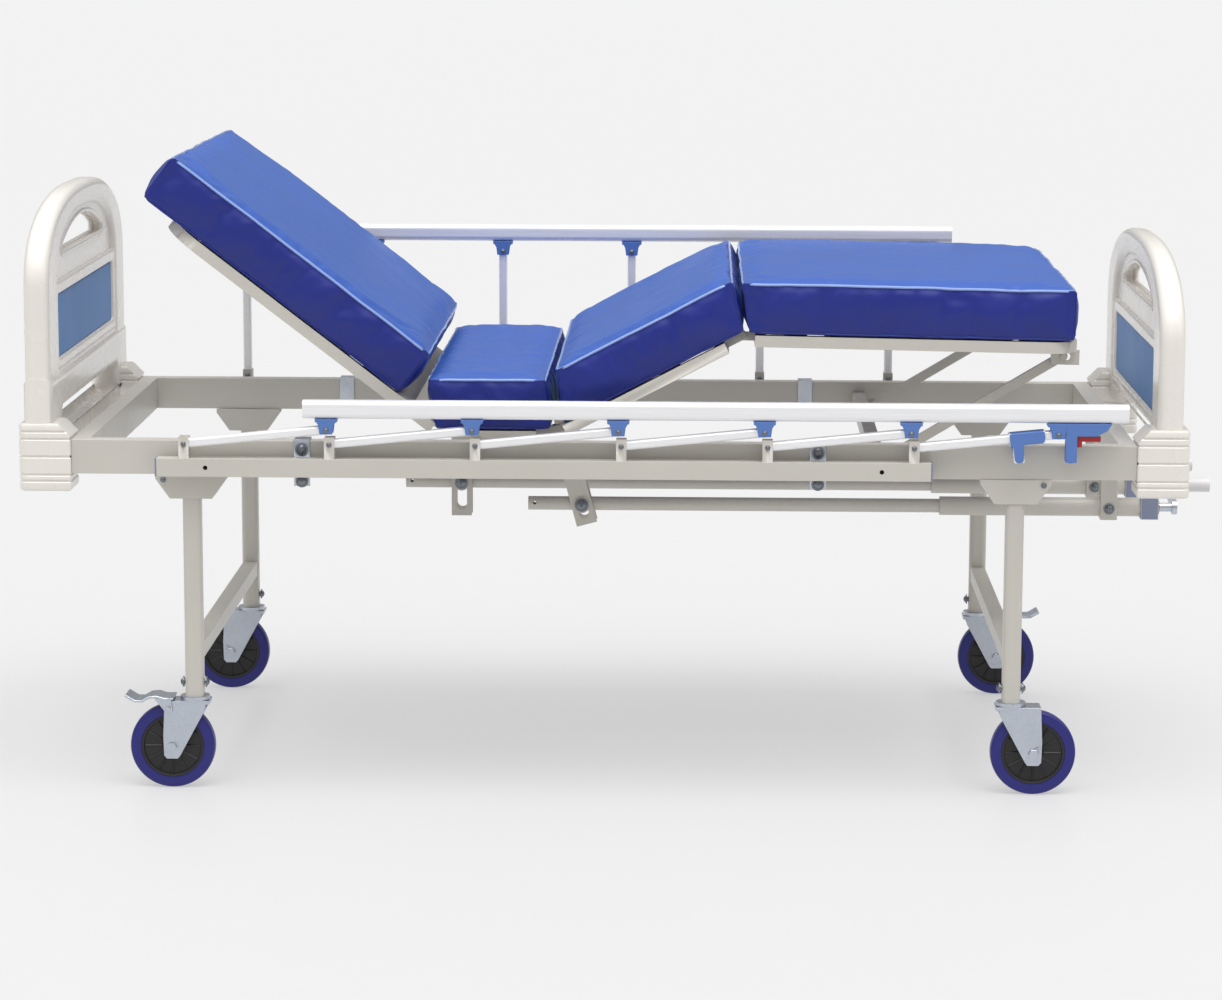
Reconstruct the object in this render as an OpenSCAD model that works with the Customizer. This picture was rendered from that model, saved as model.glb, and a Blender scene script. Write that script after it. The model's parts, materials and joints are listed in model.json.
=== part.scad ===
/* [Frame] */
// Distance between the outer ends of the two side rails
frame_len = 1856; // [1700:1:2000]
// Width over the two side rails
frame_w = 862; // [800:1:1000]
// Height of the top of the side rails above the floor
rail_top = 622; // [560:1:700]
// Height of the rectangular rail tube
rail_h = 60; // [40:1:80]
// Thickness of the rectangular rail tube
rail_w = 30; // [25:1:40]
// Wall of the frame tubes
tube_wall = 2; // [1:0.5:4]
// Distance of each leg from the middle of the bed
leg_x = 719; // [650:1:780]
// Width of the square leg tube
leg_w = 32; // [28:1:40]
// Height of the bar that joins the two legs of each end
crossbar_z = 242; // [220:1:400]

/* [Deck] */
// Position of the backrest hinge along the bed
back_hinge_x = -280; // [-340:1:-260]
// Position of the thigh hinge along the bed
thigh_hinge_x = -88; // [-100:1:-60]
// Length of the backrest frame from its hinge
back_len = 605; // [500:1:610]
// Length of the thigh frame from its hinge to the knee
thigh_len = 370; // [330:1:372]
// Length of the leg frame from the knee
foot_len = 588; // [500:1:590]
// Backrest angle at which the bed stands
back_angle = 37.5; // [0:0.5:75]
// Thigh angle at which the bed stands
thigh_angle = 27.5; // [0:0.5:40]
// Slope of the leg section, positive is down to the foot
foot_slope = 1; // [0:0.5:3]
// Width over the deck frames
deck_w = 780; // [700:1:790]
// Width of the square deck tube
deck_tube = 20; // [16:1:25]

/* [Mattress] */
// Thickness of the mattress sections
pad_h = 90; // [60:1:120]
// Width of the mattress
pad_w = 796; // [700:1:800]

/* [Boards] */
// Height of the top of the head board
head_top = 1041; // [950:1:1200]
// Height of the top of the foot board
foot_top = 955; // [900:1:1100]
// Thickness of a board at its rim
board_t = 45; // [30:1:50]
// Width of a board's posts
post_w = 110; // [80:1:130]

/* [Guard rails] */
// Distance between two uprights
upright_step = 253; // [240:1:260]
// Length of an upright from pivot to pivot
upright_len = 249; // [235:1:251]
// Angle of the folded uprights above the horizontal
fold_angle = 5.8; // [5:0.1:10]
// Height of the top rail section
top_rail_h = 32; // [26:1:36]

/* [Casters] */
// Diameter of a wheel
wheel_d = 150; // [125:1:152]
// Width of a tyre
wheel_w = 30; // [24:1:32]
// Distance of the axle behind the swivel
trail = 40; // [30:1:45]

/* [Cranks] */
// Distance of each crank from the middle of the bed
crank_y = 124; // [122:1:200]
// Height of the crank shafts
crank_z = 465; // [440:1:480]
// Length of a crank arm between its two pins
crank_arm = 105; // [80:1:105]

/* [Hidden] */
$fn = 48;

// Directions: near is the -Y side, head is the -X end
near = -1;
far = 1;
head = -1;
foot = 1;

// Frame
half_len = frame_len / 2;
half_w = frame_w / 2;
rail_bottom = rail_top - rail_h;
inner_w = half_w - rail_w;
leg_y = half_w - leg_w / 2;
leg_bottom = 165;
bumper_reach = 92;
bumper_grooves = [547, 558, 590, 621, 634];
crank_reach = 182;
// The bed's own middle is moved so that the whole part is centred with its crank grips
frame_x = -(crank_reach - bumper_reach) / 2;
fit = 0.06;

// Deck
hinge_z = 626;
deck_r = deck_tube / 2;
hinge_y = 300;
hinge_pin_r = 6;
knee_x = thigh_hinge_x + thigh_len * cos(thigh_angle);
knee_z = hinge_z + thigh_len * sin(thigh_angle);
deck_y = deck_w / 2 - deck_r;
pad_gap = 0.4;
pad_low = deck_r + pad_gap;
pad_top = deck_r + pad_h;
seat_x0 = back_hinge_x + 30;
seat_x1 = thigh_hinge_x - 30;

// Swing bars that hold the leg section up
swing_x = 510;
swing_z = 590;
swing_y = 330;
catch_t = 565;
catch_n = 20;
catch_x = knee_x + catch_t * cos(foot_slope) - catch_n * sin(foot_slope);
catch_z = knee_z - catch_t * sin(foot_slope) - catch_n * cos(foot_slope);
swing_len = norm([catch_x - swing_x, catch_z - swing_z]);
swing_angle = atan2(catch_z - swing_z, catch_x - swing_x);

// Push tubes and levers
lever_drop = hinge_z - crank_z;
back_bolt_x = back_hinge_x;
knee_bolt_x = thigh_hinge_x + 43;
knee_lever_tilt = atan2(knee_bolt_x - thigh_hinge_x, lever_drop);
tube_r = 12.5;
sleeve_r = 17;
lever_t = 4;
lever_in = tube_r + 2;
screw_r = 7;
shaft_r = 8;

// Guard rails
rail_y = 460;
pivot_x = -725.5;
pivot_z = 621.5;
pivot_pin_r = 4;
bar_x0 = -773;
bar_x1 = 569;
bar_z = 580;
bar_h = 32;
bar_w = 26;
upright_w = 16;
upright_t = 18;
cheek_in = 9.5;
cheek_out = 12.5;
top_rail_len = 1426;
top_rail_before = 40.5;
rail_above_pivot = 20;

// Boards
board_x = half_len + 35;
arch_drop = 171;
arch_power = 2.5;
arch_steps = 40;

module at_bed() {
    translate([frame_x, 0, 0]) children();
}

// A block given by its lowest and highest corners
module block(low, high) {
    translate(low) cube(high - low);
}

// A block on the near or far side, where y0 and y1 count outwards from the middle
module side_block(side, x0, x1, y0, y1, z0, z1) {
    y = side > 0 ? [y0, y1] : [-y1, -y0];
    block([x0, y[0], z0], [x1, y[1], z1]);
}

// A block at the head or foot end, where x0 and x1 count outwards from the middle
module end_block(end, x0, x1, y0, y1, z0, z1) {
    x = end > 0 ? [x0, x1] : [-x1, -x0];
    block([x[0], y0, z0], [x[1], y1, z1]);
}

module pin_y(x, y0, y1, z, r) {
    translate([x, y0, z]) rotate([-90, 0, 0]) cylinder(h = y1 - y0, r = r);
}

module pin_x(x0, x1, y, z, r) {
    translate([x0, y, z]) rotate([0, 90, 0]) cylinder(h = x1 - x0, r = r);
}

// A rectangle with four round corners
module round_rect(w, h, r) {
    square([w - 2 * r, h], center = true);
    square([w, h - 2 * r], center = true);
    for (x = [-1, 1], y = [-1, 1])
        translate([x * (w / 2 - r), y * (h / 2 - r)]) circle(r = r);
}

// A hollow rectangular tube along X
module tube_x(x0, x1, y, z, w, h) {
    difference() {
        block([x0, y - w / 2, z - h / 2], [x1, y + w / 2, z + h / 2]);
        block([x0 - 1, y - w / 2 + tube_wall, z - h / 2 + tube_wall],
            [x1 + 1, y + w / 2 - tube_wall, z + h / 2 - tube_wall]);
    }
}

// A hollow rectangular tube along Y
module tube_y(x, y0, y1, z, w, h) {
    difference() {
        block([x - w / 2, y0, z - h / 2], [x + w / 2, y1, z + h / 2]);
        block([x - w / 2 + tube_wall, y0 - 1, z - h / 2 + tube_wall],
            [x + w / 2 - tube_wall, y1 + 1, z + h / 2 - tube_wall]);
    }
}

// A domed bolt head that stands on a face and points along +Z
module dome(r = 8) {
    cylinder(h = 2, r = r * 1.25);
    intersection() {
        translate([0, 0, 2 - r * 0.35]) sphere(r = r);
        translate([0, 0, 2]) cylinder(h = r, r = r);
    }
}

// ---- Base frame ----

module side_rails() {
    color("#d9d5c8")
        for (side = [near, far])
            tube_x(-half_len, half_len, side * (half_w - rail_w / 2), rail_top - rail_h / 2,
                rail_w, rail_h);
}

module end_tubes() {
    color("#d9d5c8")
        for (end = [head, foot])
            tube_y(end * (half_len - rail_w / 2), -inner_w, inner_w, rail_top - rail_h / 2,
                rail_w, rail_h);
}

module cross_members() {
    color("#cfcbbf") {
        // two under the seat and one that carries the swing bars
        for (x = [-192.5, -152.5])
            tube_y(x, -inner_w, inner_w, 601, 25, 30);
        tube_y(swing_x - 30, -inner_w, inner_w, swing_z - 3, 25, 30);
        for (side = [near, far]) {
            side_block(side, swing_x - 18, swing_x + 9,
                swing_y + 7, swing_y + 12, swing_z - 9, swing_z + 9);
            pin_y(swing_x, side * swing_y - 7, side * swing_y + 7, swing_z, hinge_pin_r);
        }
    }
}

module legs() {
    color("#d9d5c8")
        for (x = [-leg_x, leg_x], y = [-leg_y, leg_y])
            translate([x, y, leg_bottom])
                linear_extrude(height = rail_bottom - leg_bottom)
                    difference() {
                        round_rect(leg_w, leg_w, 9);
                        round_rect(leg_w - 4, leg_w - 4, 7);
                    }
}

module gusset_profile(top, bottom, h) {
    polygon([[-top / 2, 0], [top / 2, 0], [top / 2, -8], [bottom / 2, -h], [-bottom / 2, -h],
        [-top / 2, -8]]);
}

module leg_bracing() {
    color("#d9d5c8") {
        for (x = [-leg_x, leg_x])
            tube_y(x, -leg_y + leg_w / 2, leg_y - leg_w / 2, crossbar_z, 28, 28);
        // folded trapezoid plates on both faces of each leg, under the rail
        for (x = [-leg_x, leg_x], y = [-leg_y, leg_y], face = [-1, 1])
            translate([x, y + face * (leg_w / 2 + 1.5) + 1.5, rail_bottom])
                rotate([90, 0, 0])
                    linear_extrude(height = 3) gusset_profile(124, 74, 43);
    }
}

module corner_bumpers() {
    top = 650;
    low = 531;
    color("#e6e0cf")
        for (end = [head, foot], side = [near, far])
            scale([end, side, 1])
                difference() {
                    // a block with a slanted upper corner towards the bed
                    translate([half_len, half_w + 6, low]) rotate([90, 0, 0])
                        linear_extrude(height = 86)
                            polygon([[0, 0], [bumper_reach, 0], [bumper_reach, top - low],
                                [22, top - low], [0, top - low - 22]]);
                    // pocket for the board's post
                    block([board_x - 0.3, half_w - 81, 600],
                        [board_x + board_t + 0.3, half_w + 0.3, top + 1]);
                    // five grooves round the two outer faces
                    for (z = bumper_grooves)
                        translate([half_len - 1, half_w - 81, z])
                            difference() {
                                cube([bumper_reach + 2, 88, 4]);
                                translate([0, -1, -1]) cube([bumper_reach - 1.5, 85.5, 6]);
                            }
                }
}

// ---- Head and foot boards ----

// Half outline of an arch, from its side to its top, as a rounded power curve
function arch_y(half, i) = half * (1 - pow(i / arch_steps, 2));
function arch_z(base, rise, half, y) =
    base + rise * pow(1 - pow(abs(y) / half, arch_power), 1 / arch_power);
function arch_side(half, base, rise, s) =
    [for (i = [0 : arch_steps])
        let (y = s < 0 ? -arch_y(half, i) : arch_y(half, arch_steps - i))
        [y, arch_z(base, rise, half, y)]];
function arch_points(half, low, base, rise) = concat([[-half, low]],
    arch_side(half, base, rise, -1), arch_side(half, base, rise, 1), [[half, low]]);

// Stands a drawing of Y and Z up at a place along X
module upright_plate(x, t) {
    translate([x, 0, 0]) rotate([90, 0, 90]) linear_extrude(height = t) children();
}

// One moulded board: its posts, its rim and its recessed web with a blue panel's window
module board(end, top, web_low) {
    x0 = end > 0 ? board_x : -board_x - board_t;
    base = top - arch_drop;
    inner = half_w - post_w;
    panel_low = top - 292;
    panel_high = top - 180;
    union() {
        upright_plate(x0, board_t)
            difference() {
                polygon(arch_points(half_w, 601, base, arch_drop));
                polygon(arch_points(inner, 590, base, arch_drop - 48));
            }
        upright_plate(x0 + 10, board_t - 20)
            difference() {
                polygon(arch_points(inner + 4, web_low, base, arch_drop - 46));
                // hand hole under the rim
                polygon(concat(
                    [[-230, top - 118], [230, top - 118]],
                    [for (i = [0 : 20])
                        let (y = 230 - 23 * i)
                        [y, top - 56 - 40 * pow(abs(y) / 230, 2)]]));
                translate([-inner + 18, panel_low])
                    square([2 * inner - 36, panel_high - panel_low]);
            }
        // band under the panel
        upright_plate(x0 + 3, board_t - 6)
            translate([-inner - 1, web_low])
                square([2 * inner + 2, panel_low - 12 - web_low]);
    }
}

module board_panel(end, top) {
    x0 = end > 0 ? board_x : -board_x - board_t;
    inner = half_w - post_w;
    upright_plate(x0 + 12, board_t - 24)
        translate([-inner + 18.3, top - 292 + 0.3])
            square([2 * inner - 36.6, 111.4]);
}

module head_board() {
    color("#efeadd") {
        board(head, head_top, 661);
    }
}

module head_board_panel() {
    color("#3f78c0") board_panel(head, head_top);
}

module foot_board() {
    color("#efeadd") board(foot, foot_top, 640);
}

module foot_board_panel() {
    color("#3f78c0") board_panel(foot, foot_top);
}

// ---- Guard rails ----

module base_bars() {
    color("#dedace")
        for (side = [near, far])
            scale([1, side, 1]) {
                difference() {
                    tube_x(bar_x0, bar_x1, rail_y, bar_z, bar_w, bar_h);
                    // screw access holes in the outer wall
                    for (x = [-688, 484])
                        pin_y(x, rail_y + bar_w / 2 - 6, rail_y + bar_w / 2 + 4, bar_z, 4);
                }
                for (i = [0 : 5])
                    translate([pivot_x + i * upright_step, rail_y, 0]) {
                        for (s = [-1, 1])
                            translate([-9, s > 0 ? cheek_in : -cheek_out, bar_z + bar_h / 2])
                                cube([18, cheek_out - cheek_in, 634 - bar_z - bar_h / 2]);
                        pin_y(0, -cheek_out + 1, cheek_out - 1, pivot_z, pivot_pin_r);
                    }
            }
}

module base_bar_caps() {
    color("#8d93a8")
        for (side = [near, far])
            scale([1, side, 1]) {
                for (end = [[bar_x0 - 3, bar_x0], [bar_x1, bar_x1 + 3]])
                    block([end[0], rail_y - bar_w / 2, bar_z - bar_h / 2],
                        [end[1], rail_y + bar_w / 2, bar_z + bar_h / 2]);
            }
}

module rail_clamps() {
    color("#b9bfc4")
        for (side = [near, far], x = [-524, 375])
            scale([1, side, 1]) {
                block([x - 14, inner_w - 3, 572], [x + 14, inner_w, rail_top + 3]);
                block([x - 14, inner_w - 0.5, rail_top], [x + 14, half_w + 3, rail_top + 3]);
                block([x - 14, half_w, 543], [x + 14, half_w + 3, rail_top + 1]);
                block([x - 14, half_w + 2, bar_z - 14], [x + 14, rail_y - bar_w / 2, bar_z + 14]);
            }
}

// An upright lying along +X from its lower pivot
module upright_shape() {
    difference() {
        union() {
            rotate([90, 0, 90])
                linear_extrude(height = upright_len) round_rect(upright_t, upright_w, 5);
            for (x = [0, upright_len])
                pin_y(x, -upright_t / 2, upright_t / 2, 0, upright_w / 2);
        }
        for (x = [0, upright_len])
            pin_y(x, -upright_t, upright_t, 0, pivot_pin_r + fit);
    }
}

// The catch at the foot end upright, which the latch drops onto when the rail is up
module catch_shape() {
    x1 = upright_len - 23;
    difference() {
        union() {
            block([x1 - 62, -cheek_out, -11.5], [x1, cheek_out, 10]);
            block([x1 - 57, -cheek_out, -42], [x1 - 39, cheek_out, -10]);
        }
        block([x1 - 70, -upright_t / 2, -upright_w / 2], [x1 + 5, upright_t / 2, upright_w / 2]);
    }
}

module guard_upright(side, index) {
    angle = side == near ? fold_angle : 90;
    translate([pivot_x + (index - 1) * upright_step, side * rail_y, pivot_z])
        rotate([0, -angle, 0]) {
            color("#d5d9e0") upright_shape();
            if (index == 6) color("#4a7fc6") catch_shape();
        }
}

// Places children at the top pivot of the first upright
module at_top_pivot(side) {
    angle = side == near ? fold_angle : 90;
    translate([pivot_x + upright_len * cos(angle), side * rail_y,
        pivot_z + upright_len * sin(angle)]) children();
}

module top_rail(side) {
    color("#e8ebee")
        at_top_pivot(side)
            translate([-top_rail_before, 0, rail_above_pivot + top_rail_h / 2])
                rotate([90, 0, 90])
                    difference() {
                        linear_extrude(height = top_rail_len) round_rect(28, top_rail_h, 10);
                        translate([0, 0, 3])
                            linear_extrude(height = top_rail_len - 6)
                                round_rect(24, top_rail_h - 4, 8);
                    }
}

// A connector hung under the top rail, with cheeks on both sides of the upright's end
module connector_shape() {
    z1 = rail_above_pivot;
    for (s = [-1, 1])
        translate([0, s > 0 ? cheek_out : -cheek_in, 0]) rotate([90, 0, 0])
            linear_extrude(height = cheek_out - cheek_in)
                polygon([[-11, -7], [11, -7], [13, 8], [20, z1], [-20, z1], [-13, 8]]);
    block([-19, -cheek_out, z1 - 6], [19, cheek_out, z1]);
    pin_y(0, -cheek_out + 1, cheek_out - 1, 0, pivot_pin_r);
}

// The latch at the foot end connector: a slanted body and a leg that the catch meets
module latch_shape() {
    z1 = rail_above_pivot;
    difference() {
        union() {
            translate([0, cheek_out, 0]) rotate([90, 0, 0])
                linear_extrude(height = 2 * cheek_out)
                    polygon([[13, -2], [66, -2], [84, 8], [92, z1], [13, z1]]);
            block([13, -cheek_out, -48], [32, cheek_out, 0]);
            translate([22.5, 0, -50]) cylinder(h = 3, r = 4);
        }
        // pocket for the trigger
        block([32.5, -7, -3], [74, 7, z1 - 4]);
    }
    pin_y(42, -8, 8, 5, 2.5);
}

module rail_fittings(side) {
    color("#4a7fc6")
        at_top_pivot(side) {
            for (i = [0 : 5])
                translate([i * upright_step, 0, 0]) connector_shape();
            translate([5 * upright_step, 0, 0]) latch_shape();
        }
}

module trigger(side) {
    color("#b01c20")
        at_top_pivot(side)
            translate([5 * upright_step, 0, 0])
                difference() {
                    union() {
                        block([33.5, -6, -12], [73, 6, -3.4]);
                        block([33.5, -6, -22], [41, 6, -4]);
                        block([36, -6, -5], [48, 6, 5]);
                        pin_y(42, -6, 6, 5, 6);
                    }
                    pin_y(42, -9, 9, 5, 2.5 + fit);
                }
}

// ---- Deck sections ----

// Children are drawn lying flat from the hinge towards the head, at negative X
module at_backrest() {
    translate([back_hinge_x, 0, hinge_z]) rotate([0, back_angle, 0]) children();
}

// Children are drawn lying flat from the hinge towards the foot, at positive X
module at_thigh() {
    translate([thigh_hinge_x, 0, hinge_z]) rotate([0, -thigh_angle, 0]) children();
}

module at_leg() {
    translate([knee_x, 0, knee_z]) rotate([0, foot_slope, 0]) children();
}

// Two side tubes along X with rungs, lying between x0 and x1
module ladder(x0, x1, rungs) {
    for (side = [near, far])
        tube_x(x0, x1, side * deck_y, 0, deck_tube, deck_tube);
    for (x = rungs)
        tube_y(x, -deck_y + deck_r, deck_y - deck_r, 0, deck_tube, deck_tube);
}

// Thin slats across the top of a section
module slats(places, w) {
    for (x = places)
        block([x - w / 2, -deck_y, deck_r - 3], [x + w / 2, deck_y, deck_r]);
}

// The round-cornered tube that closes the free end of a section, towards +X
module end_loop(x, r) {
    for (side = [near, far])
        scale([1, side, 1])
            translate([x, deck_y - r, 0])
                rotate_extrude(angle = 90) translate([r, 0]) square(deck_tube, center = true);
    tube_y(x + r, -deck_y + r, deck_y - r, 0, deck_tube, deck_tube);
}

// Eye plates round the hinge axis at the end of a section, with their bores
module hinge_eyes(reach) {
    for (y = [-hinge_y, hinge_y])
        difference() {
            union() {
                pin_y(0, y - 4, y + 4, 0, deck_r);
                block([min(0, reach), y - 4, -9], [max(0, reach), y + 4, 6]);
            }
            pin_y(0, y - 6, y + 6, 0, hinge_pin_r + fit);
        }
}

// Lugs and pins beside the eyes, fixed to the neighbouring section
module hinge_lugs(reach) {
    for (side = [near, far])
        scale([1, side, 1]) {
            block([min(-9, reach), hinge_y + 4.5, -9], [max(9, reach), hinge_y + 9.5, 9]);
            pin_y(0, hinge_y - 6, hinge_y + 6, 0, hinge_pin_r);
        }
}

// A pair of slotted lever plates that hang down from a hinge
module lever_plates(slot_r0, slot_r1, slot_w) {
    for (s = [-1, 1])
        translate([0, s > 0 ? lever_in : -lever_in - lever_t, 0])
            difference() {
                union() {
                    block([-9, 0, -60], [9, lever_t, 3]);
                    block([-13, 0, -60], [13, lever_t, -14]);
                    block([-19, 0, -slot_r1 - 12], [19, lever_t, -58]);
                }
                block([-slot_w / 2, -1, -slot_r1 + slot_w / 2], [slot_w / 2, lever_t + 1,
                    -slot_r0 - slot_w / 2]);
                for (r = [slot_r0 + slot_w / 2, slot_r1 - slot_w / 2])
                    pin_y(0, -1, lever_t + 1, -r, slot_w / 2);
            }
}

module seat_deck() {
    color("#d9d5c8")
        translate([0, 0, hinge_z]) {
            ladder(seat_x0, seat_x1, [seat_x0 + deck_r, seat_x1 - deck_r]);
            slats([seat_x0 + 45, seat_x1 - 45], 30);
            translate([back_hinge_x, 0, 0]) hinge_lugs(32);
            translate([thigh_hinge_x, 0, 0]) hinge_lugs(-32);
        }
}

module backrest_frame() {
    loop_r = 60;
    color("#d9d5c8") {
        at_backrest() {
            mirror([1, 0, 0]) {
                ladder(24, back_len - loop_r - deck_r, [34, 300]);
                slats([95, 165, 235, 365, 435, 505], 40);
                end_loop(back_len - loop_r - deck_r, loop_r);
                hinge_eyes(26);
            }
            for (s = [-1, 1])
                translate([0, crank_y + (s > 0 ? lever_in : -lever_in - lever_t), 0])
                    block([-26, 0, -9], [4, lever_t, 6]);
        }
        translate([back_hinge_x, crank_y, hinge_z])
            lever_plates(151, 212, 20);
    }
}

module thigh_frame() {
    color("#d9d5c8") {
        at_thigh() {
            ladder(24, thigh_len - 28, [34, thigh_len - 38]);
            slats([95, 165, 235], 40);
            hinge_eyes(26);
            translate([thigh_len, 0, 0]) hinge_lugs(-30);
            for (s = [-1, 1])
                translate([0, -crank_y + (s > 0 ? lever_in : -lever_in - lever_t), 0])
                    block([-4, 0, -9], [26, lever_t, 6]);
        }
        translate([thigh_hinge_x, -crank_y, hinge_z])
            rotate([0, -knee_lever_tilt, 0]) lever_plates(153, 192, 18);
    }
}

module leg_frame() {
    loop_r = 45;
    slot_w = 13;
    color("#d9d5c8")
        at_leg() {
            ladder(24, foot_len - loop_r - deck_r, [34, 300]);
            slats([95, 165, 235, 365, 435, 505], 40);
            end_loop(foot_len - loop_r - deck_r, loop_r);
            hinge_eyes(26);
            // slotted ears that the rod of the swing bars runs in
            for (side = [near, far])
                scale([1, side, 1])
                    difference() {
                        block([catch_t - 22, swing_y + 9, -34], [catch_t + 28, swing_y + 13, -8]);
                        block([catch_t, swing_y + 8, -catch_n - slot_w / 2],
                            [catch_t + 6, swing_y + 14, -catch_n + slot_w / 2]);
                        for (x = [catch_t, catch_t + 6])
                            pin_y(x, swing_y + 8, swing_y + 14, -catch_n, slot_w / 2);
                    }
            for (side = [near, far])
                side_block(side, catch_t - 22, catch_t - 4, swing_y + 9, deck_y - deck_r + 1, -8, 2);
        }
}

module swing_bars() {
    color("#d9d5c8")
        translate([swing_x, 0, swing_z]) rotate([0, -swing_angle, 0]) {
            for (y = [-swing_y, swing_y])
                difference() {
                    union() {
                        block([0, y - 6, -8], [swing_len, y + 6, 8]);
                        for (x = [0, swing_len])
                            pin_y(x, y - 6, y + 6, 0, 8);
                    }
                    pin_y(0, y - 8, y + 8, 0, hinge_pin_r + fit);
                }
            pin_y(swing_len, -swing_y - 15, swing_y + 15, 0, 6);
        }
}

// ---- Mattress ----

// A mattress section drawn flat, with the places of its ends at the bottom and at the top
module pad(low, high) {
    translate([0, pad_w / 2, 0]) rotate([90, 0, 0])
        linear_extrude(height = pad_w)
            polygon([[low[0], pad_low], [high[0], pad_low], [high[1], pad_top], [low[1], pad_top]]);
}

module seat_mattress() {
    color("#2b3fb0")
        translate([0, 0, hinge_z]) pad([-268, -292], [-89, -112]);
}

module backrest_mattress() {
    color("#2b3fb0") at_backrest() pad([-676, -676], [-108, -108]);
}

module thigh_mattress() {
    color("#2b3fb0") at_thigh() pad([22, 60], [thigh_len + 2, thigh_len + 6]);
}

module leg_mattress() {
    color("#2b3fb0") at_leg() pad([12, 12], [572, 572]);
}

// ---- Crank drives ----

sleeve_x0 = 607;
sleeve_x1 = 972;
block_x1 = 1003;
arm_x = 1029;
grip_x1 = half_len + crank_reach;

module crank_sleeves() {
    color("#d6d2c5")
        for (y = [-crank_y, crank_y])
            difference() {
                union() {
                    pin_x(sleeve_x0, sleeve_x1, y, crank_z, sleeve_r);
                    block([sleeve_x1 - 0.5, y - 20, crank_z - 20], [block_x1, y + 20, crank_z + 20]);
                }
                pin_x(sleeve_x0 - 1, sleeve_x1, y, crank_z, tube_r + fit);
                pin_x(sleeve_x1 - 2, block_x1 + 1, y, crank_z, shaft_r + fit);
            }
}

module crank_brackets() {
    color("#cfcbbf")
        for (y = [-crank_y, crank_y])
            difference() {
                block([half_len - rail_w, y - 22, crank_z - 21], [half_len, y + 22, rail_bottom]);
                pin_x(half_len - rail_w - 1, half_len + 1, y, crank_z, sleeve_r + 0.02);
                block([half_len - rail_w - 1, y - 18, crank_z + 20],
                    [half_len + 1, y + 18, rail_bottom - 4]);
            }
}

// A push tube with a nut at its foot end and a bolt for the slotted lever
module push_tube(y, x0, x1, bolt_x) {
    difference() {
        pin_x(x0, x1, y, crank_z, tube_r);
        pin_x(x0 + 3, x1 - 40, y, crank_z, tube_r - 2);
        pin_x(x1 - 41, x1 + 1, y, crank_z, screw_r + fit);
        pin_y(x0 + 12, y - 20, y + 20, crank_z + 2, 3);
    }
    pin_y(bolt_x, y - 24, y + 24, crank_z, 5);
    for (s = [-1, 1])
        pin_y(bolt_x, y + s * 20 - 1, y + s * 20 + 1, crank_z, 15);
}

module back_push_tube() {
    color("#cfcbbf") push_tube(crank_y, -386, 780, back_bolt_x);
}

module knee_push_tube() {
    color("#cfcbbf") push_tube(-crank_y, -143, 760, knee_bolt_x);
}

crank_tilt = 14;

// Shaft, screw and arm of one crank
module crank(y, screw_x0) {
    color("#a8acb2") {
        pin_x(screw_x0, sleeve_x1 - 1, y, crank_z, screw_r);
        pin_x(sleeve_x1 - 1.5, arm_x + 9, y, crank_z, shaft_r);
        translate([arm_x, y, crank_z]) rotate([crank_tilt, 0, 0]) {
            block([0, 0, -11], [9, crank_arm, 11]);
            pin_x(0, 9, 0, 0, 13);
            pin_x(0, 9, crank_arm, 0, 13);
            pin_x(5, grip_x1 - arm_x - 2, crank_arm, 0, 5);
        }
    }
}

module crank_grip(y) {
    color("#dcd9d6")
        translate([arm_x, y, crank_z]) rotate([crank_tilt, 0, 0])
            difference() {
                pin_x(9.5, grip_x1 - arm_x, crank_arm, 0, 13);
                pin_x(9, grip_x1 - arm_x - 1.5, crank_arm, 0, 5 + fit);
            }
}

// ---- Casters ----

crown_z = 152;

module caster_stems() {
    color("#b4b8bc")
        for (x = [-leg_x, leg_x], y = [-leg_y, leg_y])
            translate([x, y, 0]) {
                translate([0, 0, crown_z + 6.5]) cylinder(h = leg_bottom - crown_z - 6.5, r = 26);
                translate([0, 0, leg_bottom - 1]) cylinder(h = 60, r = 13);
                translate([0, 0, crown_z - 6]) cylinder(h = 16, r = hinge_pin_r);
                translate([0, 0, crown_z - 6]) cylinder(h = 5, r = 10, $fn = 6);
            }
}

// Side plate of a fork: from the crown down to a blunt lower end round the axle
module fork_side() {
    polygon([[-20, crown_z + 6], [52, crown_z + 6], [trail + 15, wheel_d / 2 + 20],
        [trail + 14, wheel_d / 2 - 15], [trail + 9, wheel_d / 2 - 21],
        [trail - 10, wheel_d / 2 - 21], [trail - 15, wheel_d / 2 - 15], [-20, crown_z - 9]]);
}

// Children are drawn at the swivel axis with the wheel trailing towards +X
module at_caster(end, side) {
    translate([end * leg_x, side * leg_y, 0]) scale([end, 1, 1]) children();
}

module fork(end, side, braked) {
    y0 = wheel_w / 2 + 4;
    color("#b4b8bc")
        at_caster(end, side) {
            difference() {
                union() {
                    block([-27, -y0 - 3, crown_z], [52, y0 + 3, crown_z + 6]);
                    for (s = [-1, 1])
                        translate([0, s > 0 ? y0 + 3 : -y0, 0]) rotate([90, 0, 0])
                            linear_extrude(height = 3) fork_side();
                }
                translate([0, 0, crown_z - 1]) cylinder(h = 8, r = hinge_pin_r + fit);
            }
            pin_y(trail, -y0 - 1, y0 + 1, wheel_d / 2, 5);
            if (braked)
                for (s = [-1, 1])
                    translate([pedal_x, s * (y0 + 1), pedal_z]) rotate([s * -90, 0, 0])
                        cylinder(h = 9, r = 3);
            for (s = [-1, 1])
                translate([trail, s * (y0 + 3), wheel_d / 2]) rotate([s * -90, 0, 0])
                    cylinder(h = 6, r = 9, $fn = 6);
        }
}

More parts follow.
